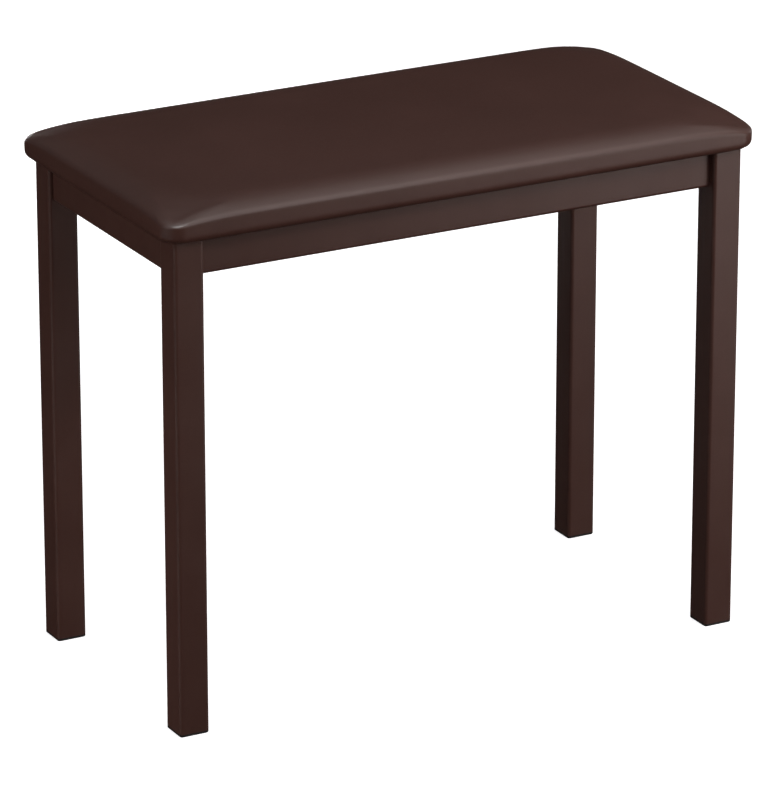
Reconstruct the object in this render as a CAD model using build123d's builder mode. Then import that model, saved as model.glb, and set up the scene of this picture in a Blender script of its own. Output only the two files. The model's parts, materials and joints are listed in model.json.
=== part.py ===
from build123d import *
import os
from math import sqrt

# Piano bench: a knock-down steel tube frame under an upholstered top.
# Millimetres. +X along the seat, +Y to the back, +Z up. The origin is on the floor, under the
# middle of the bench.

# ---- Driving dimensions ----------------------------------------------------------------------
# Seat
SEAT_LENGTH = 579.0
SEAT_DEPTH = 296.0
BENCH_HEIGHT = 483.0
SEAT_UNDERSIDE = 450.0
SEAT_CORNER = 24.0
SEAT_TOP_ROUND = 15.0
SEAT_BOTTOM_ROUND = 5.0
CROWN_LENGTHWISE = 2.5
CROWN_CROSSWISE = 2.5
CROWN_SWEEP = 3.0  # degrees each way about the crown's far-off axis, enough to pass the sides
COVER_THICK = 1.0
HEM_WIDTH = 44.0
HEM_CORNER = 30.0
BOARD_THICK = 12.0
BOARD_INSET = 6.0
BOARD_CORNER = 18.0

# Frame
FRAME_LENGTH = 556.0
FRAME_DEPTH = 274.0
LEG_SIZE = 28.0
LEG_WALL = 1.5
LEG_CORNER = 3.0
RAIL_HEIGHT = 35.0
RAIL_THICK = 15.0
RAIL_WALL = 1.5
RAIL_CORNER = 3.0
LONG_RAIL_SETBACK = 7.5
END_RAIL_SETBACK = 4.5

# Feet
FOOT_FLANGE = 2.5
FOOT_CHAMFER = 0.8
SPIGOT_SIZE = 24.4
SPIGOT_HEIGHT = 16.0
SPIGOT_WALL = 2.0
SPIGOT_CORNER = 2.2
RIB_SIZE = 24.9
RIB_HEIGHT = 1.5
RIB_COUNT = 3

# Corner brackets and leg bolts (M6)
BRACKET_PLATE = 2.5
BRACKET_HEIGHT = 31.0
BRACKET_FLANGE = 14.0
BRACKET_REACH = 70.0
BRACKET_BEND = 3.5
BOLT_SPACING = 16.0
BOLT_RADIUS = 2.95
BOLT_LENGTH = 35.0
BOLT_HEAD_RADIUS = 5.0
BOLT_HEAD_HEIGHT = 6.0
BOLT_HEAD_CHAMFER = 0.6
HEX_KEY_ACROSS_FLATS = 5.0
HEX_KEY_DEPTH = 3.0
BRACKET_HOLE_RADIUS = 3.3
LEG_HOLE_RADIUS = 3.5
THREAD_RADIUS = 3.0
WASHER_RADIUS = 6.0
WASHER_THICK = 1.6
SPRING_WASHER_RADIUS = 5.9
SPRING_WASHER_SLIT = 0.9
NUT_PLATE_WIDTH = 15.9
NUT_PLATE_HEIGHT = 34.0
NUT_PLATE_THICK = 5.0

# Seat tabs, seat screws and cover staples
TAB_PLATE = 2.0
TAB_WIDTH = 26.0
TAB_REACH = 22.0
TAB_DROP = 20.0
TAB_BEND = 3.0
TAB_POSITION = 150.0
TAB_HOLE_RADIUS = 2.6
SCREW_INSET = 16.0
SCREW_RADIUS = 2.0
SCREW_BITE = 10.0
SCREW_POINT = 3.0
SCREW_TIP_RADIUS = 0.3
SCREW_HEAD_RADIUS = 4.4
SCREW_HEAD_HEIGHT = 2.8
SCREW_HEAD_ROUND = 1.7
SCREW_RECESS_DEPTH = 1.4
SCREW_RECESS_WIDTH = 1.0
STAPLE_CROWN = 10.0
STAPLE_WIRE = 0.9
STAPLE_LEG = 8.0
STAPLE_INSET = 40.0
STAPLE_SPACING = 25.0
LONG_STAPLE_COUNT = 19
END_STAPLE_COUNT = 7
STAPLE_CLEARANCE = 2.0

# ---- Worked out ------------------------------------------------------------------------------
HALF_FRAME = FRAME_LENGTH / 2
HALF_FRAME_DEPTH = FRAME_DEPTH / 2
BOARD_UNDERSIDE = SEAT_UNDERSIDE + COVER_THICK
RAIL_MIDDLE = SEAT_UNDERSIDE - RAIL_HEIGHT / 2
LONG_RAIL_LENGTH = FRAME_LENGTH - 2 * LEG_SIZE
END_RAIL_LENGTH = FRAME_DEPTH - 2 * LEG_SIZE
LONG_RAIL_Y = HALF_FRAME_DEPTH - LONG_RAIL_SETBACK - RAIL_THICK / 2
END_RAIL_X = HALF_FRAME - END_RAIL_SETBACK - RAIL_THICK / 2
# Inner faces of the rails, measured in from a leg's outer corner
LONG_RAIL_INNER = LONG_RAIL_SETBACK + RAIL_THICK
END_RAIL_INNER = END_RAIL_SETBACK + RAIL_THICK

# The front-left corner is modelled; the other three are its mirror images.
CORNERS = {
    "front_left": (),
    "front_right": (Plane.YZ,),
    "back_left": (Plane.XZ,),
    "back_right": (Plane.YZ, Plane.XZ),
}


def mirrored(piece, planes):
    """The piece, reflected in each plane in turn."""
    for plane in planes:
        piece = mirror(piece, about=plane)
    return piece


def save(piece, name):
    """Labels a finished piece and writes it to its own file."""
    piece.label = name
    export_step(piece, f"parts/{name}.step")


def save_at_corners(piece, name):
    """Writes one piece for each corner, mirrored from the front-left one."""
    for corner, planes in CORNERS.items():
        save(mirrored(piece, planes), f"{corner}_{name}")


def save_group(piece, name):
    """Writes the same fasteners at all four corners as one group of solids."""
    with BuildPart() as group:
        for planes in CORNERS.values():
            add(mirrored(piece, planes))
    save(group.part, name)


def tube_section(width, height, wall, corner):
    """Rectangular tube section with rounded corners, for the sketch it is called in."""
    RectangleRounded(width, height, corner)
    RectangleRounded(width - 2 * wall, height - 2 * wall, corner - wall, mode=Mode.SUBTRACT)


# ---- Seat ------------------------------------------------------------------------------------
def pad_form(inset):
    """Crowned, rounded pad with every surface set in by the same amount."""
    cross_radius = (SEAT_DEPTH / 2) ** 2 / (2 * CROWN_CROSSWISE)
    half_length = SEAT_LENGTH / 2
    crown_depth = 2 * (BENCH_HEIGHT - SEAT_UNDERSIDE)
    axis_height = BENCH_HEIGHT - cross_radius
    top = cross_radius - inset
    crown_start = Plane(
        origin=(0, 0, axis_height),
        x_dir=(1, 0, 0),
        z_dir=Vector(0, -1, 0).rotate(Axis.X, CROWN_SWEEP),
    )
    with BuildPart() as form:
        with BuildSketch(Plane.XY.offset(SEAT_UNDERSIDE + inset)):
            RectangleRounded(SEAT_LENGTH - 2 * inset, SEAT_DEPTH - 2 * inset, SEAT_CORNER - inset)
        extrude(amount=BENCH_HEIGHT - SEAT_UNDERSIDE)
        with BuildSketch(crown_start):
            with BuildLine():
                crown = ThreePointArc(
                    (-half_length, top - CROWN_LENGTHWISE),
                    (0, top),
                    (half_length, top - CROWN_LENGTHWISE),
                )
                Polyline(
                    crown @ 0,
                    (-half_length, top - crown_depth),
                    (half_length, top - crown_depth),
                    crown @ 1,
                )
            make_face()
        revolve(
            axis=Axis((0, 0, axis_height), (-1, 0, 0)),
            revolution_arc=2 * CROWN_SWEEP,
            mode=Mode.INTERSECT,
        )
        fillet(form.faces().sort_by(Axis.Z)[-1].edges(), SEAT_TOP_ROUND - inset)
        fillet(form.faces().sort_by(Axis.Z)[0].edges(), SEAT_BOTTOM_ROUND - inset)
    return form.part


def staple_places():
    """Places along the hem, with a gap at each seat tab."""
    places = []
    gap = TAB_WIDTH / 2 + STAPLE_CROWN / 2 + STAPLE_CLEARANCE
    row_y = SEAT_DEPTH / 2 - STAPLE_INSET
    row_x = SEAT_LENGTH / 2 - STAPLE_INSET
    for index in range(LONG_STAPLE_COUNT):
        x = (index - (LONG_STAPLE_COUNT - 1) / 2) * STAPLE_SPACING
        if abs(abs(x) - TAB_POSITION) > gap:
            places += [Location((x, row_y, SEAT_UNDERSIDE)), Location((x, -row_y, SEAT_UNDERSIDE))]
    for index in range(END_STAPLE_COUNT):
        y = (index - (END_STAPLE_COUNT - 1) / 2) * STAPLE_SPACING
        if abs(y) > gap:
            turn = (0, 0, 90)
            places += [
                Location((row_x, y, SEAT_UNDERSIDE), turn),
                Location((-row_x, y, SEAT_UNDERSIDE), turn),
            ]
    return places


with BuildPart() as cover_staples:
    bottom_up = (Align.CENTER, Align.CENTER, Align.MIN)
    top_down = (Align.CENTER, Align.CENTER, Align.MAX)
    with Locations(*staple_places()):
        Box(STAPLE_CROWN, STAPLE_WIRE, STAPLE_WIRE, align=top_down)
        with GridLocations(STAPLE_CROWN - STAPLE_WIRE, 0, 2, 1):
            Box(STAPLE_WIRE, STAPLE_WIRE, STAPLE_LEG, align=bottom_up)

# Screw axes: two behind each long rail, one inside each end rail
screw_y = HALF_FRAME_DEPTH - LONG_RAIL_INNER - SCREW_INSET
screw_x = HALF_FRAME - END_RAIL_INNER - SCREW_INSET
screw_places = [(x, y) for x in (-TAB_POSITION, TAB_POSITION) for y in (-screw_y, screw_y)]
screw_places += [(-screw_x, 0), (screw_x, 0)]

with BuildPart() as seat_screws:
    head_face = SEAT_UNDERSIDE - TAB_PLATE
    shank_top = BOARD_UNDERSIDE + SCREW_BITE
    with BuildSketch(Plane.XY.offset(head_face - SCREW_HEAD_HEIGHT)):
        with Locations(*screw_places):
            Circle(SCREW_HEAD_RADIUS)
    extrude(amount=SCREW_HEAD_HEIGHT)
    fillet(edges().group_by(Axis.Z)[0], SCREW_HEAD_ROUND)
    with BuildSketch(Plane.XY.offset(head_face)):
        with Locations(*screw_places):
            Circle(SCREW_RADIUS)
    extrude(amount=shank_top - SCREW_POINT - head_face)
    point_places = [(x, y, shank_top - SCREW_POINT) for x, y in screw_places]
    with Locations(*point_places):
        Cone(SCREW_RADIUS, SCREW_TIP_RADIUS, SCREW_POINT, align=(Align.CENTER, Align.CENTER, Align.MIN))
    with BuildSketch(Plane.XY.offset(head_face - SCREW_HEAD_HEIGHT)):
        with Locations(*screw_places):
            Rectangle(SCREW_HEAD_RADIUS, SCREW_RECESS_WIDTH)
            Rectangle(SCREW_RECESS_WIDTH, SCREW_HEAD_RADIUS)
    extrude(amount=SCREW_RECESS_DEPTH, mode=Mode.SUBTRACT)

with BuildPart() as board_blank:
    with BuildSketch(Plane.XY.offset(BOARD_UNDERSIDE)):
        RectangleRounded(SEAT_LENGTH - 2 * BOARD_INSET, SEAT_DEPTH - 2 * BOARD_INSET, BOARD_CORNER)
    extrude(amount=BOARD_THICK)

with BuildPart() as seat_board:
    add(board_blank.part)
    add(cover_staples.part, mode=Mode.SUBTRACT)
    add(seat_screws.part, mode=Mode.SUBTRACT)

outside_form = pad_form(0)
padding_form = pad_form(COVER_THICK)

with BuildPart() as seat_foam:
    add(padding_form)
    add(board_blank.part, mode=Mode.SUBTRACT)

with BuildPart() as seat_cover:
    add(outside_form)
    add(padding_form, mode=Mode.SUBTRACT)
    with BuildSketch(Plane.XY.offset(SEAT_UNDERSIDE)):
        RectangleRounded(SEAT_LENGTH - 2 * HEM_WIDTH, SEAT_DEPTH - 2 * HEM_WIDTH, HEM_CORNER)
    extrude(amount=COVER_THICK, mode=Mode.SUBTRACT)
    add(cover_staples.part, mode=Mode.SUBTRACT)

save(seat_cover.part, "seat_cover")
save(seat_foam.part, "seat_foam")
save(seat_board.part, "seat_board")
save(cover_staples.part, "cover_staples")
save(seat_screws.part, "seat_screws")

# ---- Rails -----------------------------------------------------------------------------------
with BuildPart() as front_rail:
    with BuildSketch(Plane.YZ):
        with Locations((-LONG_RAIL_Y, RAIL_MIDDLE)):
            tube_section(RAIL_THICK, RAIL_HEIGHT, RAIL_WALL, RAIL_CORNER)
    extrude(amount=LONG_RAIL_LENGTH / 2, both=True)

with BuildPart() as left_rail:
    with BuildSketch(Plane.XZ):
        with Locations((-END_RAIL_X, RAIL_MIDDLE)):
            tube_section(RAIL_THICK, RAIL_HEIGHT, RAIL_WALL, RAIL_CORNER)
    extrude(amount=END_RAIL_LENGTH / 2, both=True)

save(front_rail.part, "front_rail")
save(mirror(front_rail.part, about=Plane.XZ), "back_rail")
save(left_rail.part, "left_rail")
save(mirror(left_rail.part, about=Plane.YZ), "right_rail")

# ---- Seat tabs: bent strips welded inside the rails, their tops level with the rails' ----------
tab_profile = [(0, -TAB_DROP), (0, 0), (TAB_REACH, 0)]


def seat_tab(rail_face, screw_place):
    """A tab on a plane at the rail's top edge: x away from the rail, y up, z along the rail."""
    with BuildPart() as tab:
        with BuildSketch(rail_face):
            with BuildLine():
                outside = FilletPolyline(*tab_profile, radius=TAB_BEND)
                offset(outside, amount=TAB_PLATE, side=Side.RIGHT)
            make_face()
        extrude(amount=TAB_WIDTH / 2, both=True)
        with BuildSketch(Plane.XY.offset(SEAT_UNDERSIDE)):
            with Locations(screw_place):
                Circle(TAB_HOLE_RADIUS)
        extrude(amount=-TAB_PLATE, mode=Mode.SUBTRACT)
    return tab.part


front_rail_face = Plane(
    origin=(-TAB_POSITION, LONG_RAIL_INNER - HALF_FRAME_DEPTH, SEAT_UNDERSIDE),
    x_dir=(0, 1, 0),
    z_dir=(1, 0, 0),
)
left_rail_face = Plane(
    origin=(END_RAIL_INNER - HALF_FRAME, 0, SEAT_UNDERSIDE),
    x_dir=(1, 0, 0),
    z_dir=(0, -1, 0),
)
front_left_seat_tab = seat_tab(front_rail_face, (-TAB_POSITION, -screw_y))
left_seat_tab = seat_tab(left_rail_face, (-screw_x, 0))

save_at_corners(front_left_seat_tab, "seat_tab")
save(left_seat_tab, "left_seat_tab")
save(mirror(left_seat_tab, about=Plane.YZ), "right_seat_tab")

# ---- Corner joint: all on the diagonal through the leg -----------------------------------------
corner_x = -HALF_FRAME
corner_y = -HALF_FRAME_DEPTH
# Plan points of the bracket's rail side: along the long rail, across the corner, along the end rail
bracket_path = [
    (corner_x + BRACKET_REACH - LONG_RAIL_INNER + BRACKET_FLANGE, corner_y + LONG_RAIL_INNER),
    (corner_x + BRACKET_REACH - LONG_RAIL_INNER, corner_y + LONG_RAIL_INNER),
    (corner_x + END_RAIL_INNER, corner_y + BRACKET_REACH - END_RAIL_INNER),
    (corner_x + END_RAIL_INNER, corner_y + BRACKET_REACH - END_RAIL_INNER + BRACKET_FLANGE),
]
# The bolts' plane lies on the bracket's inner face and points away from the leg.
web_to_corner = BRACKET_REACH / sqrt(2) + BRACKET_PLATE
bolt_plane = Plane(
    origin=(corner_x + web_to_corner / sqrt(2), corner_y + web_to_corner / sqrt(2), RAIL_MIDDLE),
    x_dir=(0, 0, 1),
    z_dir=(1, 1, 0),
)
web_to_leg = web_to_corner - LEG_SIZE * sqrt(2)
web_to_cavity = web_to_leg + LEG_WALL * sqrt(2)
web_to_nut_plate = web_to_cavity + NUT_PLATE_WIDTH / 2


def bolt_circles(outer, inner=0.0):
    """A disc, or a ring, on each of the two bolt axes, for the sketch it is called in."""
    with GridLocations(BOLT_SPACING, 0, 2, 1):
        Circle(outer)
        if inner:
            Circle(inner, mode=Mode.SUBTRACT)


with BuildPart() as corner_bracket:
    with BuildSketch(Plane.XY.offset(RAIL_MIDDLE - BRACKET_HEIGHT / 2)):
        with BuildLine():
            FilletPolyline(*bracket_path, radius=BRACKET_BEND)
            offset(amount=BRACKET_PLATE, side=Side.RIGHT)
        make_face()
    extrude(amount=BRACKET_HEIGHT)
    with BuildSketch(bolt_plane):
        bolt_circles(BRACKET_HOLE_RADIUS)
    extrude(amount=-2 * BRACKET_PLATE, mode=Mode.SUBTRACT)

with BuildPart() as leg:
    with BuildSketch(Plane.XY.offset(FOOT_FLANGE)):
        with Locations((corner_x + LEG_SIZE / 2, corner_y + LEG_SIZE / 2)):
            tube_section(LEG_SIZE, LEG_SIZE, LEG_WALL, LEG_CORNER)
    extrude(amount=SEAT_UNDERSIDE - FOOT_FLANGE)
    with BuildSketch(bolt_plane.offset(-web_to_leg)):
        bolt_circles(LEG_HOLE_RADIUS)
    extrude(amount=-NUT_PLATE_WIDTH / 2, mode=Mode.SUBTRACT)

with BuildPart() as nut_plate:
    with BuildSketch(bolt_plane.offset(-web_to_nut_plate)):
        Rectangle(NUT_PLATE_HEIGHT, NUT_PLATE_WIDTH)
        with GridLocations(BOLT_SPACING, 0, 2, 1):
            Circle(THREAD_RADIUS, mode=Mode.SUBTRACT)
    extrude(amount=-NUT_PLATE_THICK)

with BuildPart() as corner_washers:
    with BuildSketch(bolt_plane):
        bolt_circles(WASHER_RADIUS, BRACKET_HOLE_RADIUS)
    extrude(amount=WASHER_THICK)

with BuildPart() as corner_spring_washers:
    with BuildSketch(bolt_plane.offset(WASHER_THICK)):
        bolt_circles(SPRING_WASHER_RADIUS, BRACKET_HOLE_RADIUS)
        with GridLocations(BOLT_SPACING, 0, 2, 1):
            with Locations((0, SPRING_WASHER_RADIUS / 2)):
                Rectangle(SPRING_WASHER_SLIT, SPRING_WASHER_RADIUS, mode=Mode.SUBTRACT)
    extrude(amount=WASHER_THICK)

with BuildPart() as corner_bolts:
    under_head = bolt_plane.offset(2 * WASHER_THICK)
    with BuildSketch(under_head):
        bolt_circles(BOLT_HEAD_RADIUS)
    extrude(amount=BOLT_HEAD_HEIGHT)
    chamfer(edges().group_by(Axis(bolt_plane.origin, bolt_plane.z_dir))[-1], BOLT_HEAD_CHAMFER)
    with BuildSketch(under_head):
        bolt_circles(BOLT_RADIUS)
    extrude(amount=-BOLT_LENGTH)
    with BuildSketch(under_head.offset(BOLT_HEAD_HEIGHT)):
        with GridLocations(BOLT_SPACING, 0, 2, 1):
            RegularPolygon(HEX_KEY_ACROSS_FLATS / 2, 6, major_radius=False)
    extrude(amount=-HEX_KEY_DEPTH, mode=Mode.SUBTRACT)

save_at_corners(corner_bracket.part, "corner_bracket")
save_at_corners(leg.part, "leg")
save_at_corners(nut_plate.part, "nut_plate")
save_group(corner_washers.part, "leg_bolt_washers")
save_group(corner_spring_washers.part, "leg_bolt_spring_washers")
save_group(corner_bolts.part, "leg_bolts")

# ---- Feet: ribbed plugs pushed into the legs -----------------------------------------------------
with BuildPart() as foot:
    leg_middle = (corner_x + LEG_SIZE / 2, corner_y + LEG_SIZE / 2)
    with BuildSketch():
        with Locations(leg_middle):
            RectangleRounded(LEG_SIZE, LEG_SIZE, LEG_CORNER)
    extrude(amount=FOOT_FLANGE)
    chamfer(faces().sort_by(Axis.Z)[0].edges(), FOOT_CHAMFER)
    with BuildSketch(Plane.XY.offset(FOOT_FLANGE)):
        with Locations(leg_middle):
            tube_section(SPIGOT_SIZE, SPIGOT_SIZE, SPIGOT_WALL, SPIGOT_CORNER)
    extrude(amount=SPIGOT_HEIGHT)
    for index in range(RIB_COUNT):
        rib_bottom = FOOT_FLANGE + (index + 0.5) * SPIGOT_HEIGHT / RIB_COUNT
        with BuildSketch(Plane.XY.offset(rib_bottom)):
            with Locations(leg_middle):
                tube_section(RIB_SIZE, RIB_SIZE, SPIGOT_WALL, SPIGOT_CORNER)
        extrude(amount=RIB_HEIGHT)

save_at_corners(foot.part, "foot")
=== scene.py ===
import json
import math

import bmesh
import bpy
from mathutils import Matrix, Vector, noise


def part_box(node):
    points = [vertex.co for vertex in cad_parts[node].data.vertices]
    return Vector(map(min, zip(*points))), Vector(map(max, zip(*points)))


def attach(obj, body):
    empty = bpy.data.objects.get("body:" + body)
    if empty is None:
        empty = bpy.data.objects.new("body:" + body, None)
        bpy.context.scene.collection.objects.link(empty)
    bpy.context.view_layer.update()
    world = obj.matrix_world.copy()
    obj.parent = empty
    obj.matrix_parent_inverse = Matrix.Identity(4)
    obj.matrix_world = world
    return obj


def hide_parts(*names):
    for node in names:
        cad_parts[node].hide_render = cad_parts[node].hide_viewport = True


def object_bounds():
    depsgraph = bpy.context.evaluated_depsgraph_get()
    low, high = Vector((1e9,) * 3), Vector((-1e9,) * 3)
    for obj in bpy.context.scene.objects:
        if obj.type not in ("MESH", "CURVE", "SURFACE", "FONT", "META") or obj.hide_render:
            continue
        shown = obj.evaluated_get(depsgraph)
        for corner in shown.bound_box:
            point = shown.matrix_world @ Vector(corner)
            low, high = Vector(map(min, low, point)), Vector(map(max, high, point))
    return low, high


# A piano bench: dark brown vinyl seat on a powder-coated steel tube frame. Metres, in the
# model's frame: +X along the seat, +Y to the back, +Z up, the floor at z = 0.

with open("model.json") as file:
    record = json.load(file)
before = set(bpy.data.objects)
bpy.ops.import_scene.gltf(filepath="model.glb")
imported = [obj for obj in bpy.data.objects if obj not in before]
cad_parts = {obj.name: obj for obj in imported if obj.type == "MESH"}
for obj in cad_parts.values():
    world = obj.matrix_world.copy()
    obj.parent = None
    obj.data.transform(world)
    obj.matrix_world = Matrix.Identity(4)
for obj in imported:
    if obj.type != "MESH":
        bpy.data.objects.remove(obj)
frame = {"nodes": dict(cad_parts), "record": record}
cad_low, cad_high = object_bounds()
MM = 0.001
BODY = "root"
LEG_NAMES = ["front_left", "front_right", "back_left", "back_right"]
TAB_NAMES = LEG_NAMES + ["left", "right"]


# ---- Camera ------------------------------------------------------------------------------------
CAMERA_AZIMUTH = math.radians(-28.41)
CAMERA_ELEVATION = math.radians(20.14)
CAMERA_DISTANCE = 5.0955
CAMERA_LENS = 257.8
AIM_HEIGHT = 0.451 * cad_high.z


def direction(azimuth, elevation):
    """A unit vector from the bench: azimuth 0 is to the front, and 90 degrees to its right."""
    level = math.cos(elevation)
    return Vector((math.sin(azimuth) * level, -math.cos(azimuth) * level, math.sin(elevation)))


def make_camera():
    """A long lens from the front left and above, level, aimed a little below the middle."""
    data = bpy.data.cameras.new("camera")
    data.lens = CAMERA_LENS
    data.sensor_width = 36.0
    data.clip_end = 60.0
    camera = bpy.data.objects.new("camera", data)
    bpy.context.scene.collection.objects.link(camera)
    away = direction(CAMERA_AZIMUTH, CAMERA_ELEVATION)
    camera.location = Vector((0, 0, AIM_HEIGHT)) + away * CAMERA_DISTANCE
    camera.rotation_mode = "QUATERNION"
    camera.rotation_quaternion = (-away).to_track_quat("-Z", "Y")
    bpy.context.scene.camera = camera


make_camera()


# ---- Materials ---------------------------------------------------------------------------------
class Nodes:
    """A material's node tree, with short calls for the nodes that these materials use."""

    def __init__(self, name):
        self.material = bpy.data.materials.new(name)
        self.material.use_nodes = True
        self.tree = self.material.node_tree
        self.shader = self.tree.nodes["Principled BSDF"]
        self.place = self.add("ShaderNodeTexCoord").outputs["Object"]

    def add(self, kind, **values):
        node = self.tree.nodes.new(kind)
        for key, value in values.items():
            setattr(node, key, value)
        return node

    def link(self, source, target):
        self.tree.links.new(source, target)

    def set(self, **values):
        """Constant values on the shader's own sockets; an underscore stands for a space."""
        for key, value in values.items():
            self.shader.inputs[key.replace("_", " ")].default_value = value

    def scaled(self, scale):
        """The object's own coordinates, scaled along each axis."""
        mapping = self.add("ShaderNodeMapping")
        mapping.inputs["Scale"].default_value = scale
        self.link(self.place, mapping.inputs["Vector"])
        return mapping.outputs["Vector"]

    def noise(self, scale, detail=4.0, rough=0.55, place=None, distortion=0.0):
        node = self.add("ShaderNodeTexNoise")
        node.inputs["Scale"].default_value = scale
        node.inputs["Detail"].default_value = detail
        node.inputs["Roughness"].default_value = rough
        node.inputs["Distortion"].default_value = distortion
        self.link(place or self.place, node.inputs["Vector"])
        return node.outputs["Fac"]

    def cells(self, scale, feature):
        node = self.add("ShaderNodeTexVoronoi", feature=feature)
        node.inputs["Scale"].default_value = scale
        self.link(self.place, node.inputs["Vector"])
        return node.outputs["Distance"]

    def spread(self, value, low, high, to_low=0.0, to_high=1.0):
        node = self.add("ShaderNodeMapRange")
        for key, number in zip(
            ("From Min", "From Max", "To Min", "To Max"), (low, high, to_low, to_high)
        ):
            node.inputs[key].default_value = number
        self.link(value, node.inputs["Value"])
        return node.outputs["Result"]

    def maths(self, operation, first, second):
        node = self.add("ShaderNodeMath", operation=operation)
        for socket, value in zip(node.inputs, (first, second)):
            if isinstance(value, (int, float)):
                socket.default_value = value
            else:
                self.link(value, socket)
        return node.outputs["Value"]

    def ramp(self, value, *stops):
        """Colours by value: stops are (position, (r, g, b))."""
        node = self.add("ShaderNodeValToRGB")
        elements = node.color_ramp.elements
        while len(elements) < len(stops):
            elements.new(0.5)
        for element, (position, colour) in zip(elements, stops):
            element.position = position
            element.color = (*colour, 1.0)
        self.link(value, node.inputs["Fac"])
        return node.outputs["Color"]

    def bump(self, height, distance, strength, below=None):
        node = self.add("ShaderNodeBump")
        node.inputs["Distance"].default_value = distance
        node.inputs["Strength"].default_value = strength
        self.link(height, node.inputs["Height"])
        if below is not None:
            self.link(below, node.inputs["Normal"])
        return node.outputs["Normal"]

    def colour(self, output):
        self.link(output, self.shader.inputs["Base Color"])

    def roughness(self, output):
        self.link(output, self.shader.inputs["Roughness"])

    def normal(self, output):
        self.link(output, self.shader.inputs["Normal"])


def vinyl_material():
    """Dark brown upholstery vinyl: fine pebbled grain, satin, a little uneven in colour."""
    m = Nodes("vinyl")
    broad = m.noise(9.0, detail=3.0)
    fine = m.noise(420.0, detail=2.0)
    grain = m.cells(900.0, feature="DISTANCE_TO_EDGE")
    pebbles = m.spread(grain, 0.0, 0.32)
    tint = m.maths("ADD", m.maths("MULTIPLY", broad, 0.75), m.maths("MULTIPLY", fine, 0.25))
    m.colour(
        m.ramp(
            tint,
            (0.30, (0.070, 0.0290, 0.0220)),
            (0.55, (0.079, 0.0336, 0.0260)),
            (0.75, (0.090, 0.0400, 0.0316)),
        )
    )
    dullness = m.maths("ADD", m.maths("MULTIPLY", pebbles, -0.3), fine)
    m.roughness(m.spread(dullness, 0.0, 1.0, 0.38, 0.46))
    creases = m.bump(pebbles, 0.06 * MM, 0.55)
    m.normal(m.bump(m.noise(160.0, detail=3.0), 0.25 * MM, 0.25, below=creases))
    m.set(Specular_IOR_Level=0.42)
    return m.material


def frame_paint_material():
    """Dark brown powder coat: satin, with a fine orange peel."""
    m = Nodes("frame_paint")
    broad = m.noise(14.0, detail=3.0)
    speckle = m.noise(1500.0, detail=1.0)
    m.colour(
        m.ramp(
            m.maths("ADD", m.maths("MULTIPLY", broad, 0.6), m.maths("MULTIPLY", speckle, 0.4)),
            (0.32, (0.070, 0.0296, 0.0230)),
            (0.55, (0.077, 0.0336, 0.0260)),
            (0.72, (0.085, 0.0380, 0.0300)),
        )
    )
    m.roughness(m.spread(m.noise(35.0, detail=4.0), 0.3, 0.7, 0.36, 0.44))
    m.normal(m.bump(m.noise(520.0, detail=2.0, rough=0.4), 0.08 * MM, 0.35))
    m.set(Specular_IOR_Level=0.4)
    return m.material


def zinc_material():
    """Bright zinc plate, slightly cloudy."""
    m = Nodes("zinc")
    cloud = m.noise(260.0, detail=3.0)
    m.colour(m.ramp(cloud, (0.3, (0.50, 0.50, 0.47)), (0.7, (0.66, 0.66, 0.63))))
    m.roughness(m.spread(cloud, 0.3, 0.7, 0.26, 0.42))
    m.normal(m.bump(m.noise(900.0, detail=2.0), 0.03 * MM, 0.4))
    m.set(Metallic=1.0)
    return m.material


def plywood_material():
    """Raw birch plywood: long grain along X, with faint pores."""
    m = Nodes("plywood")
    along = m.scaled((3.0, 60.0, 60.0))
    figure = m.noise(1.6, detail=5.0, place=along, distortion=1.2)
    pores = m.noise(9.0, detail=2.0, place=m.scaled((18.0, 420.0, 420.0)))
    mixed = m.maths("ADD", m.maths("MULTIPLY", figure, 0.8), m.maths("MULTIPLY", pores, 0.2))
    m.colour(
        m.ramp(
            mixed,
            (0.30, (0.36, 0.22, 0.115)),
            (0.50, (0.48, 0.32, 0.175)),
            (0.70, (0.58, 0.42, 0.25)),
        )
    )
    m.roughness(m.spread(pores, 0.3, 0.7, 0.62, 0.78))
    m.normal(m.bump(pores, 0.1 * MM, 0.5))
    return m.material


def foot_plastic_material():
    """Moulded black polyethylene with a fine matt texture."""
    m = Nodes("foot_plastic")
    texture = m.noise(1800.0, detail=2.0)
    m.colour(m.ramp(m.noise(60.0), (0.35, (0.010, 0.0095, 0.009)), (0.7, (0.017, 0.016, 0.015))))
    m.roughness(m.spread(texture, 0.3, 0.7, 0.5, 0.62))
    m.normal(m.bump(texture, 0.04 * MM, 0.5))
    return m.material


def foam_material():
    """Open-cell upholstery foam."""
    m = Nodes("foam")
    pores = m.cells(1100.0, feature="F1")
    m.colour(m.ramp(pores, (0.15, (0.50, 0.42, 0.24)), (0.6, (0.72, 0.64, 0.42))))
    m.roughness(m.spread(pores, 0.0, 0.8, 0.85, 0.95))
    m.normal(m.bump(pores, 0.3 * MM, 0.7))
    return m.material


MATERIALS = {
    "vinyl": vinyl_material(),
    "frame_paint": frame_paint_material(),
    "zinc": zinc_material(),
    "plywood": plywood_material(),
    "foot_plastic": foot_plastic_material(),
    "foam": foam_material(),
}


def finish_cad_nodes():
    """Gives every CAD node the material of its slot."""
    for part in frame["record"]["subparts"]:
        node = frame["nodes"][part["node"]]
        node.data.materials.clear()
        node.data.materials.append(MATERIALS[part["material_slot"]])


finish_cad_nodes()


# ---- Pieces ------------------------------------------------------------------------------------
def new_piece(name, slot, mesh_from):
    """A mesh object from a bmesh, in a slot's material, riding on the bench."""
    mesh = bpy.data.meshes.new(name)
    mesh_from.to_mesh(mesh)
    mesh_from.free()
    piece = bpy.data.objects.new(name, mesh)
    bpy.context.scene.collection.objects.link(piece)
    mesh.materials.append(MATERIALS[slot])
    for face in mesh.polygons:
        face.use_smooth = True
    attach(piece, BODY)
    return piece


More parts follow.
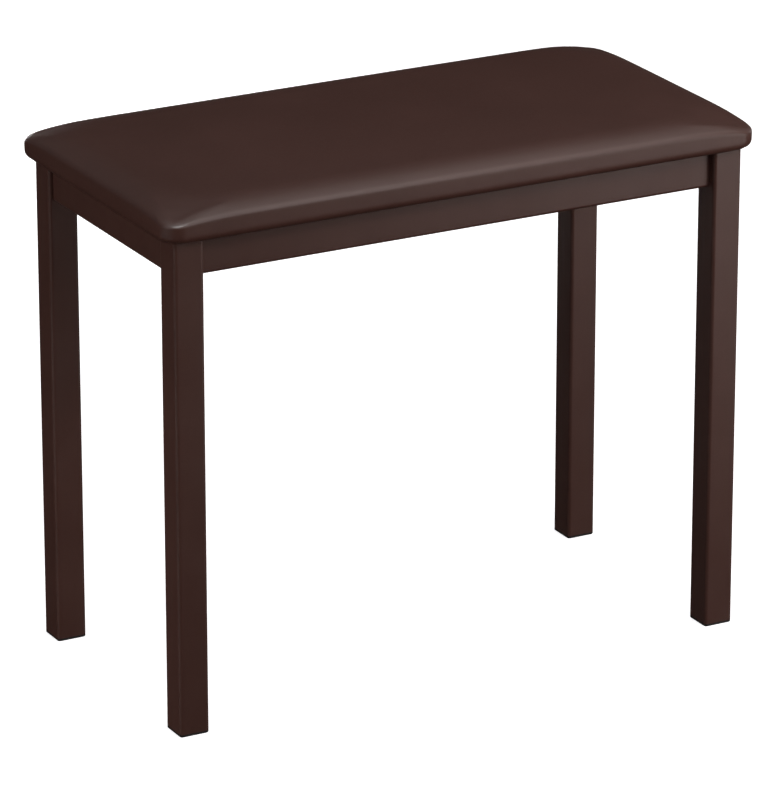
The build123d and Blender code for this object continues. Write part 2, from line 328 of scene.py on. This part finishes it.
# ---- Seat pad ----------------------------------------------------------------------------------
cover_low, cover_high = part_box("seat_cover")
board_low, board_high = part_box("seat_board")
SEAT_LENGTH = cover_high.x - cover_low.x
SEAT_DEPTH = cover_high.y - cover_low.y
SEAT_BOTTOM = cover_low.z
SEAT_TOP = cover_high.z
COVER_THICK = board_low.z - cover_low.z

# The pad's section, from the underside up: a lower edge that curls under, a flat side, a tight
# shoulder, a soft roll and a crown. Heights are above the seat's underside.
CURL_HEIGHT = 7.0 * MM
CURL_REACH = 5.4 * MM
SIDE_HEIGHT = 18.2 * MM
TIGHT_REACH = 3.0 * MM
TIGHT_RISE = 2.5 * MM
ROLL_REACH = 34.0 * MM
ROLL_RISE = 8.1 * MM
CROWN_RISE = 2.8 * MM

# The corners in plan: their radius at the side, and how it grows per unit of distance in from
# the side, up to RIM_INSET and past it, and along the lower edge as that curls under.
SIDE_CORNER = 18.5 * MM
CORNER_GROWTH = 2.1
RIM_INSET = 16.0 * MM
INNER_GROWTH = 0.8
CURL_GROWTH = 0.3

# How the cover is pulled down over the corners, and the ridges that this draws in it.
CORNER_DROP = 3.8 * MM
CORNER_SPREAD = 37.0 * MM
TENSION_HEIGHT = 0.4 * MM
TENSION_WIDTH = 3.5 * MM
TENSION_START = SIDE_CORNER / 3
TENSION_LENGTH = 75.0 * MM
TENSION_FADE = 0.3
TENSION_ANGLE = math.radians(10)

# The hem under the seat, and the pleats round its corners, placed and measured in degrees.
# SIDE_GATHER is how much of their depth the pleats have at the foot of the side.
HEM_WIDTH = 44.0 * MM
HEM_CORNER = 30.0 * MM
PLEAT_DEPTH = 0.7 * MM
PLEAT_WIDTH = 3.5
PLEAT_PLACES = (-30, -9, 11, 29)
PLEAT_REACH = 12.0 * MM
SIDE_GATHER = 0.6

# The mesh: steps round half a corner and along the sides, relaxing of the top's grid, and
# rings over the shoulder, down the side, round the curl and across the hem.
ARC_STEPS = 10
LONG_STEPS = 74
SHORT_STEPS = 26
COLUMNS = LONG_STEPS + 2 * ARC_STEPS
ROWS = SHORT_STEPS + 2 * ARC_STEPS
RELAX_PASSES = 12
SHOULDER_RINGS = 10
SIDE_RINGS = (0.33, 0.66, 1.0)
CURL_RINGS = 6
HEM_RINGS = 12
HEM_CROWDING = 1.5

# The puffed top: what is held still, where in from the side the swelling starts and is full,
# the most that a point may move, and how long the cloth is simulated.
PIN_HEIGHT = SEAT_BOTTOM + SIDE_HEIGHT
SWELL_FROM = 5.0 * MM
SWELL_TO = 50.0 * MM
MOST_SWELL = 6.0 * MM
PUFF_FRAMES = 20

# The cover is a little thinner than in the CAD, so that its inner face clears the board, and
# the foam keeps small gaps to both.
SHELL_THICK = 0.9 * COVER_THICK
FOAM_TO_COVER = 0.3 * MM
FOAM_TO_BOARD = 0.2 * MM
FOAM_LOW = board_low.z + 0.1 * MM


def quarter(t):
    """Height of a quarter circle of radius 1, a distance t in from its foot."""
    t = min(max(t, 0.0), 1.0)
    return math.sqrt(1.0 - (1.0 - t) ** 2)


def parabola(t):
    """A gentler rise than a quarter circle, level at t = 1."""
    t = min(max(t, 0.0), 1.0)
    return t * (2.0 - t)


def smooth_step(low, high, value):
    """0 below low, 1 above high, and a smooth change between them."""
    t = min(max((value - low) / (high - low), 0.0), 1.0)
    return t * t * (3.0 - 2.0 * t)


def corner_radius(inset):
    """Plan radius of the corners at a distance in from the side."""
    near = min(inset, RIM_INSET)
    return SIDE_CORNER + CORNER_GROWTH * near + INNER_GROWTH * (inset - near)


def rim(inset, radius):
    """Points of a rounded rectangle, anticlockwise from the middle of the front-left corner."""
    half_x = SEAT_LENGTH / 2 - inset - radius
    half_y = SEAT_DEPTH / 2 - inset - radius
    corners = [(-half_x, -half_y), (half_x, -half_y), (half_x, half_y), (-half_x, half_y)]
    points = []
    for side in range(4):
        start, end = Vector(corners[side]), Vector(corners[(side + 1) % 4])
        outward = math.radians(90 * side - 90)
        steps = SHORT_STEPS if side % 2 else LONG_STEPS
        for step in range(ARC_STEPS):
            angle = outward + math.radians(45) * (step / ARC_STEPS - 1)
            points.append(start + radius * Vector((math.cos(angle), math.sin(angle))))
        for step in range(steps):
            shift = radius * Vector((math.cos(outward), math.sin(outward)))
            points.append(start.lerp(end, step / steps) + shift)
        for step in range(ARC_STEPS):
            angle = outward + math.radians(45) * step / ARC_STEPS
            points.append(end + radius * Vector((math.cos(angle), math.sin(angle))))
    return points


def inset_at(point):
    """How far in from the side a plan point is, by halving, in the rounded rectangles of rim."""
    low, high = 0.0, SEAT_DEPTH / 2
    halvings = 24
    for _ in range(halvings):
        inset = (low + high) / 2
        radius = min(corner_radius(inset), SEAT_DEPTH / 2 - inset)
        x = abs(point.x) - (SEAT_LENGTH / 2 - inset - radius)
        y = abs(point.y) - (SEAT_DEPTH / 2 - inset - radius)
        outside = math.hypot(max(x, 0.0), max(y, 0.0)) + min(max(x, y), 0.0) > radius
        if outside:
            high = inset
        else:
            low = inset
    return (low + high) / 2


def from_corner(point):
    """Distances from the two sides that meet at the nearest corner."""
    return SEAT_LENGTH / 2 - abs(point.x), SEAT_DEPTH / 2 - abs(point.y)


def corner_pull(point):
    """1 at the tip of a corner, falling away to nothing along the sides."""
    return math.exp(-((math.hypot(*from_corner(point)) / CORNER_SPREAD) ** 2))


def tension_lines(point):
    """Two faint ridges in the vinyl that fan out from each corner, one beside each side."""
    dx, dy = from_corner(point)
    height = 0.0
    for along, across in ((dx, dy), (dy, dx)):
        off_line = (across - TENSION_START) * math.cos(TENSION_ANGLE)
        off_line -= (along - TENSION_START) * math.sin(TENSION_ANGLE)
        fade_in = smooth_step(0.0, SIDE_CORNER, along)
        fade_out = smooth_step(TENSION_FADE, 1.0, along / TENSION_LENGTH)
        height += fade_in * (1 - fade_out) * math.exp(-((off_line / TENSION_WIDTH) ** 2))
    return TENSION_HEIGHT * height


def crown(point):
    """The pad's even crown, highest in the middle and nothing at the sides."""
    u = 2 * point.x / SEAT_LENGTH
    v = 2 * point.y / SEAT_DEPTH
    return CROWN_RISE * (1 - u * u) * (1 - v * v)


def side_top(point):
    """Top of the flat side, lower where the cover is pulled over a corner."""
    return SEAT_BOTTOM + SIDE_HEIGHT - CORNER_DROP * corner_pull(point)


def top_height(point, inset):
    """Height of the cover at a plan point from the shoulder inwards."""
    shoulder = TIGHT_RISE * quarter(inset / TIGHT_REACH) + ROLL_RISE * parabola(inset / ROLL_REACH)
    ridges = tension_lines(point) * smooth_step(0.0, TIGHT_REACH, inset)
    return side_top(point) + shoulder + crown(point) + ridges


def pleats(point):
    """How deep, from 0 to 1, the small pleats are where the cover is gathered round a corner."""
    dx, dy = from_corner(point)
    if max(dx, dy) > HEM_CORNER:
        return 0.0
    turn = math.degrees(math.atan2(HEM_CORNER - dy, HEM_CORNER - dx)) - 45
    return max(math.exp(-(((turn - place) / PLEAT_WIDTH) ** 2)) for place in PLEAT_PLACES)


def gathered(point, share):
    """A plan point on the side, drawn in where a pleat runs."""
    dx, dy = from_corner(point)
    inward = Vector((HEM_CORNER - dx, HEM_CORNER - dy))
    if min(inward) < 0:
        return point
    inward = inward.normalized() * PLEAT_DEPTH * share * pleats(point)
    return point - Vector((math.copysign(inward.x, point.x), math.copysign(inward.y, point.y)))


def pad_mesh():
    """The cover's outer surface: a grid on top, then rings down the side and under to the hem."""
    mesh = bmesh.new()
    outline = rim(RIM_INSET, corner_radius(RIM_INSET))
    front = outline[: COLUMNS + 1]
    right = outline[COLUMNS : COLUMNS + ROWS + 1]
    back = outline[COLUMNS + ROWS : 2 * COLUMNS + ROWS + 1][::-1]
    left = (outline[2 * COLUMNS + ROWS :] + outline[:1])[::-1]
    plan = [[None] * (ROWS + 1) for _ in range(COLUMNS + 1)]
    for i in range(COLUMNS + 1):
        for j in range(ROWS + 1):
            u, v = i / COLUMNS, j / ROWS
            across = front[i] * (1 - v) + back[i] * v
            along = left[j] * (1 - u) + right[j] * u
            low = front[0] * (1 - u) + front[-1] * u
            high = back[0] * (1 - u) + back[-1] * u
            plan[i][j] = across + along - (low * (1 - v) + high * v)
    for _ in range(RELAX_PASSES):
        plan = [
            [
                plan[i][j]
                if i in (0, COLUMNS) or j in (0, ROWS)
                else (plan[i - 1][j] + plan[i + 1][j] + plan[i][j - 1] + plan[i][j + 1]) / 4
                for j in range(ROWS + 1)
            ]
            for i in range(COLUMNS + 1)
        ]
    grid = [[mesh.verts.new((*p, top_height(p, inset_at(p)))) for p in row] for row in plan]
    for i in range(COLUMNS):
        for j in range(ROWS):
            mesh.faces.new((grid[i][j], grid[i + 1][j], grid[i + 1][j + 1], grid[i][j + 1]))
    ring = [grid[i][0] for i in range(COLUMNS)]
    ring += [grid[COLUMNS][j] for j in range(ROWS)]
    ring += [grid[COLUMNS - i][ROWS] for i in range(COLUMNS)]
    ring += [grid[0][ROWS - j] for j in range(ROWS)]
    for level in side_levels() + hem_levels():
        below = [mesh.verts.new(p) for p in level]
        count = len(ring)
        for k in range(count):
            mesh.faces.new((ring[k], below[k], below[(k + 1) % count], ring[(k + 1) % count]))
        ring = below
    bmesh.ops.recalc_face_normals(mesh, faces=mesh.faces)
    return mesh


def side_levels():
    """Rings from just outside the top grid, over the shoulder, down the side and under it."""
    levels = []
    for step in range(1, SHOULDER_RINGS + 1):
        inset = RIM_INSET * (1 - math.sin(math.radians(90) * step / SHOULDER_RINGS))
        points = rim(inset, corner_radius(inset))
        levels.append([(p.x, p.y, top_height(p, inset)) for p in points])
    side = rim(0.0, SIDE_CORNER)
    curl_top = SEAT_BOTTOM + CURL_HEIGHT
    for down in SIDE_RINGS:
        drawn = [gathered(p, SIDE_GATHER * down * down) for p in side]
        levels.append([(p.x, p.y, side_top(p) * (1 - down) + curl_top * down) for p in drawn])
    for step in range(1, CURL_RINGS + 1):
        angle = math.radians(90) * step / CURL_RINGS
        inset = CURL_REACH * (1 - math.cos(angle))
        z = SEAT_BOTTOM + CURL_HEIGHT * (1 - math.sin(angle))
        share = SIDE_GATHER + (1 - SIDE_GATHER) * step / CURL_RINGS
        outline = [gathered(p, share) for p in rim(inset, SIDE_CORNER + CURL_GROWTH * inset)]
        levels.append([(p.x, p.y, z) for p in outline])
    return levels


def hem_levels():
    """Flat rings under the seat, from the lower edge to the hem's cut edge."""
    levels = []
    for step in range(1, HEM_RINGS + 1):
        t = (step / HEM_RINGS) ** HEM_CROWDING
        inset = CURL_REACH + (HEM_WIDTH - CURL_REACH) * t
        radius = SIDE_CORNER + (HEM_CORNER - SIDE_CORNER) * t
        depth = PLEAT_DEPTH * (1 - smooth_step(0.0, PLEAT_REACH, inset - CURL_REACH))
        outline = rim(inset, radius)
        levels.append([(p.x, p.y, SEAT_BOTTOM + depth * pleats(p)) for p in outline])
    return levels


def puff(piece):
    """Blows the pad's top up with cloth simulation, held at its shoulder, and applies it."""
    mesh = piece.data
    rest = [v.co.copy() for v in mesh.vertices]
    held = piece.vertex_groups.new(name="held")
    for v in mesh.vertices:
        if v.co.z < PIN_HEIGHT + TIGHT_RISE:
            held.add([v.index], 1.0, "REPLACE")
    cloth = piece.modifiers.new("cloth", "CLOTH")
    cloth.settings.vertex_group_mass = "held"
    cloth.settings.quality = 6
    cloth.settings.mass = 0.3
    cloth.settings.tension_stiffness = 15
    cloth.settings.compression_stiffness = 15
    cloth.settings.shear_stiffness = 8
    cloth.settings.bending_stiffness = 2.0
    cloth.settings.use_pressure = True
    cloth.settings.uniform_pressure_force = 4.0
    cloth.settings.effector_weights.gravity = 0.0
    cloth.collision_settings.use_collision = False
    scene = bpy.context.scene
    scene.frame_start, scene.frame_end = 1, PUFF_FRAMES
    for step in range(1, PUFF_FRAMES + 1):
        scene.frame_set(step)
    shaped = piece.evaluated_get(bpy.context.evaluated_depsgraph_get())
    swollen = [v.co.copy() for v in shaped.data.vertices]
    piece.modifiers.remove(cloth)
    scene.frame_set(1)
    moves = []
    for start, end in zip(rest, swollen):
        share = smooth_step(SWELL_FROM, SWELL_TO, inset_at(start)) if start.z > PIN_HEIGHT else 0.0
        moves.append((end - start) * share)
    room = SEAT_TOP - max(v.z for v in rest)
    scale = min(MOST_SWELL, room) / max(m.length for m in moves)
    for v, start, move in zip(mesh.vertices, rest, moves):
        v.co = start + move * scale


def make_cover():
    """The vinyl cover, a shell that is puffed up and has one subdivision."""
    cover = new_piece("upholstered_cover", "vinyl", pad_mesh())
    puff(cover)
    thick = cover.modifiers.new("thickness", "SOLIDIFY")
    thick.thickness = SHELL_THICK
    thick.offset = -1.0
    smooth = cover.modifiers.new("smooth", "SUBSURF")
    smooth.levels = smooth.render_levels = 1
    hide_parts("seat_cover")
    return cover


cover = make_cover()


def make_padding(cover):
    """The foam: the cover's own shape without its hem, drawn in, with a pocket for the board."""
    mesh = bmesh.new()
    mesh.from_mesh(cover.data)
    mesh.verts.ensure_lookup_table()
    hem_count = 2 * (COLUMNS + ROWS) * len(hem_levels())
    bmesh.ops.delete(mesh, geom=mesh.verts[-hem_count:], context="VERTS")
    mesh.normal_update()
    shift = COVER_THICK + FOAM_TO_COVER
    for vert, normal in [(v, v.normal.copy()) for v in mesh.verts]:
        vert.co -= normal * shift
    mesh.verts.ensure_lookup_table()
    ring = mesh.verts[-2 * (COLUMNS + ROWS) :]
    for vert in ring:
        vert.co.z = FOAM_LOW
    pocket_inset = board_low.x - cover_low.x - FOAM_TO_BOARD
    for height in (FOAM_LOW, board_high.z + FOAM_TO_BOARD):
        level = rim(pocket_inset, SIDE_CORNER)
        below = [mesh.verts.new((p.x, p.y, height)) for p in level]
        for k in range(len(ring)):
            n = (k + 1) % len(ring)
            mesh.faces.new((ring[k], below[k], below[n], ring[n]))
        ring = below
    mesh.faces.new(ring)
    bmesh.ops.recalc_face_normals(mesh, faces=mesh.faces)
    padding = new_piece("seat_padding", "foam", mesh)
    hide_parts("seat_foam")


make_padding(cover)


# ---- Welds -------------------------------------------------------------------------------------
BEAD_RADIUS = 1.7 * MM
BEAD_RIPPLE = 1.7 * MM
RIPPLE_DEPTH = 0.14
RIPPLE_STEPS = 4
BEAD_SIDES = 10
UNEVENNESS = 0.16
UNEVEN_LENGTH = 6.0 * MM
BLUNT_END = 0.05


def bead(mesh, start, end, seed):
    """A weld bead between two points: ripples, rounded ends, and an unevenness set by the seed."""
    axis = (end - start).normalized()
    aside = axis.orthogonal().normalized()
    across = axis.cross(aside)
    length = (end - start).length
    rings = []
    steps = round(length / BEAD_RIPPLE) * RIPPLE_STEPS
    for step in range(steps + 1):
        t = step / steps
        ripple = math.sin(math.pi * ((t * length / BEAD_RIPPLE) % 1.0))
        taper = quarter(min(t, 1 - t) * length / BEAD_RADIUS + BLUNT_END)
        uneven = 1 + UNEVENNESS * noise.noise(Vector((t * length / UNEVEN_LENGTH, seed, 0.5)))
        radius = BEAD_RADIUS * uneven * taper * (1 - RIPPLE_DEPTH * (1 - ripple))
        place = start.lerp(end, t)
        ring = []
        for k in range(BEAD_SIDES):
            turn = 2 * math.pi * k / BEAD_SIDES
            ring.append(
                mesh.verts.new(place + radius * (math.cos(turn) * aside + math.sin(turn) * across))
            )
        rings.append(ring)
    for one, other in zip(rings, rings[1:]):
        for k in range(BEAD_SIDES):
            n = (k + 1) % BEAD_SIDES
            mesh.faces.new((one[k], one[n], other[n], other[k]))
    mesh.faces.new(rings[0][::-1])
    mesh.faces.new(rings[-1])


def outer_and_inner(low, high):
    """Two coordinates of a box along one axis, the one further from the bench's middle first."""
    return (low, high) if abs(low) > abs(high) else (high, low)


def make_bracket_welds():
    """Beads at the ends of the corner brackets' flanges."""
    mesh = bmesh.new()
    for seed, leg in enumerate(LEG_NAMES):
        low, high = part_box(leg + "_corner_bracket")
        outer_x, inner_x = outer_and_inner(low.x, high.x)
        outer_y, inner_y = outer_and_inner(low.y, high.y)
        bottom, top = low.z + BEAD_RADIUS, high.z - BEAD_RADIUS
        for x, y in ((inner_x, outer_y), (outer_x, inner_y)):
            bead(mesh, Vector((x, y, bottom)), Vector((x, y, top)), seed + 10 * x)
    new_piece("bracket_welds", "frame_paint", mesh)


def make_tab_welds():
    """Beads down both sides of each seat tab."""
    mesh = bmesh.new()
    for seed, tab in enumerate(TAB_NAMES):
        low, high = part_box(tab + "_seat_tab")
        bottom, top = low.z + BEAD_RADIUS, high.z - 3 * BEAD_RADIUS
        if tab in LEG_NAMES:
            face = outer_and_inner(low.y, high.y)[0]
            places = [(low.x, face), (high.x, face)]
        else:
            face = outer_and_inner(low.x, high.x)[0]
            places = [(face, low.y), (face, high.y)]
        for x, y in places:
            bead(mesh, Vector((x, y, bottom)), Vector((x, y, top)), seed + 10 * y)
    new_piece("tab_welds", "frame_paint", mesh)


make_bracket_welds()
make_tab_welds()


# ---- Stage -------------------------------------------------------------------------------------
FLAT_RADII = (0.01, 0.5, 1.0, 2.0, 4.0, 6.0)
FLOOR_BEND = 3.0
BEND_STEPS = 12
WALL_TOP = 8.0
FLOOR_SIDES = 96
FLOOR_GREY = (0.86, 0.86, 0.86, 1.0)
FLOOR_GLOW = 0.85


def floor_material():
    """Pale matt paper, lit a little from within so that it stays white round the bench."""
    material = bpy.data.materials.new("floor")
    material.use_nodes = True
    shader = material.node_tree.nodes["Principled BSDF"]
    shader.inputs["Base Color"].default_value = FLOOR_GREY
    shader.inputs["Roughness"].default_value = 0.9
    shader.inputs["Specular IOR Level"].default_value = 0.1
    shader.inputs["Emission Color"].default_value = (1.0, 1.0, 1.0, 1.0)
    shader.inputs["Emission Strength"].default_value = FLOOR_GLOW
    return material


def make_floor():
    """A wide pale floor that curves up far from the bench on every side."""
    mesh = bmesh.new()
    rings = [(radius, 0.0) for radius in FLAT_RADII]
    for step in range(1, BEND_STEPS + 1):
        angle = math.radians(90) * step / BEND_STEPS
        out = FLAT_RADII[-1] + FLOOR_BEND * math.sin(angle)
        rings.append((out, FLOOR_BEND * (1 - math.cos(angle))))
    rings.append((FLAT_RADII[-1] + FLOOR_BEND, WALL_TOP))
    previous = None
    for radius, z in rings:
        turns = [2 * math.pi * k / FLOOR_SIDES for k in range(FLOOR_SIDES)]
        ring = [mesh.verts.new((radius * math.cos(a), radius * math.sin(a), z)) for a in turns]
        if previous:
            for k in range(FLOOR_SIDES):
                n = (k + 1) % FLOOR_SIDES
                mesh.faces.new((previous[k], ring[k], ring[n], previous[n]))
        else:
            mesh.faces.new(ring)
        previous = ring
    bmesh.ops.recalc_face_normals(mesh, faces=mesh.faces)
    data = bpy.data.meshes.new("floor")
    mesh.to_mesh(data)
    mesh.free()
    for face in data.polygons:
        face.use_smooth = True
    floor = bpy.data.objects.new("floor", data)
    bpy.context.scene.collection.objects.link(floor)
    data.materials.append(floor_material())
    floor.location.z = cad_low.z
    floor.visible_glossy = False
    floor.visible_diffuse = False


WHITE = (1.0, 1.0, 1.0)
WARM = (1.0, 0.93, 0.90)
LIGHT_AIM = Vector((0, 0, 0.6 * cad_high.z))
WORLD_GLOW = 0.01


def softbox(name, azimuth, elevation, distance, size, power, colour=WHITE):
    """A square softbox facing the bench; azimuth 0 is in front of it, and 90 to its right."""
    data = bpy.data.lights.new(name, "AREA")
    data.size = size
    data.energy = power
    data.color = colour
    light = bpy.data.objects.new(name, data)
    bpy.context.scene.collection.objects.link(light)
    across, up = math.radians(azimuth), math.radians(elevation)
    away = direction(across, up)
    light.location = LIGHT_AIM + away * distance
    light.rotation_mode = "QUATERNION"
    light.rotation_quaternion = away.to_track_quat("Z", "Y")
    light.visible_camera = False
    return light


def make_lights():
    """Softboxes all round. The low left one gives no reflection; the glints give nothing else."""
    softbox("front", 8, 30, 3.0, 1.4, 15.5)
    softbox("shoulder_line", 31, 38, 2.6, 0.5, 11.3, WARM)
    softbox("front_right", 42, 3, 1.8, 1.0, 10.3, WARM)
    softbox("high_right", 97, 58, 3.0, 1.8, 13, WARM)
    softbox("shoulder", 52, 54, 3.0, 1.2, 5)
    softbox("overhead", 150, 80, 3.0, 2.2, 14)
    softbox("left", -80, 30, 3.0, 1.4, 14)
    low_left = softbox("low_left", -80, -14, 1.0, 0.4, 2.7)
    low_left.visible_glossy = False
    corner_glint = softbox("corner_glint", -40, 68, 2.4, 0.25, 45)
    shoulder_glint = softbox("shoulder_glint", 58, 62, 2.0, 0.4, 3.5, WARM)
    for light in (corner_glint, shoulder_glint):
        light.visible_diffuse = False
    softbox("back", -162, 22, 3.0, 2.8, 2.5)
    softbox("low_back", 176, -4, 2.2, 0.5, 24)
    softbox("right", 105, 8, 3.0, 1.4, 8)
    world = bpy.data.worlds.new("world")
    world.use_nodes = True
    world.node_tree.nodes["Background"].inputs["Color"].default_value = (1.0, 1.0, 1.0, 1.0)
    world.node_tree.nodes["Background"].inputs["Strength"].default_value = WORLD_GLOW
    bpy.context.scene.world = world


make_floor()
make_lights()
bpy.context.scene.view_settings.view_transform = "Standard"
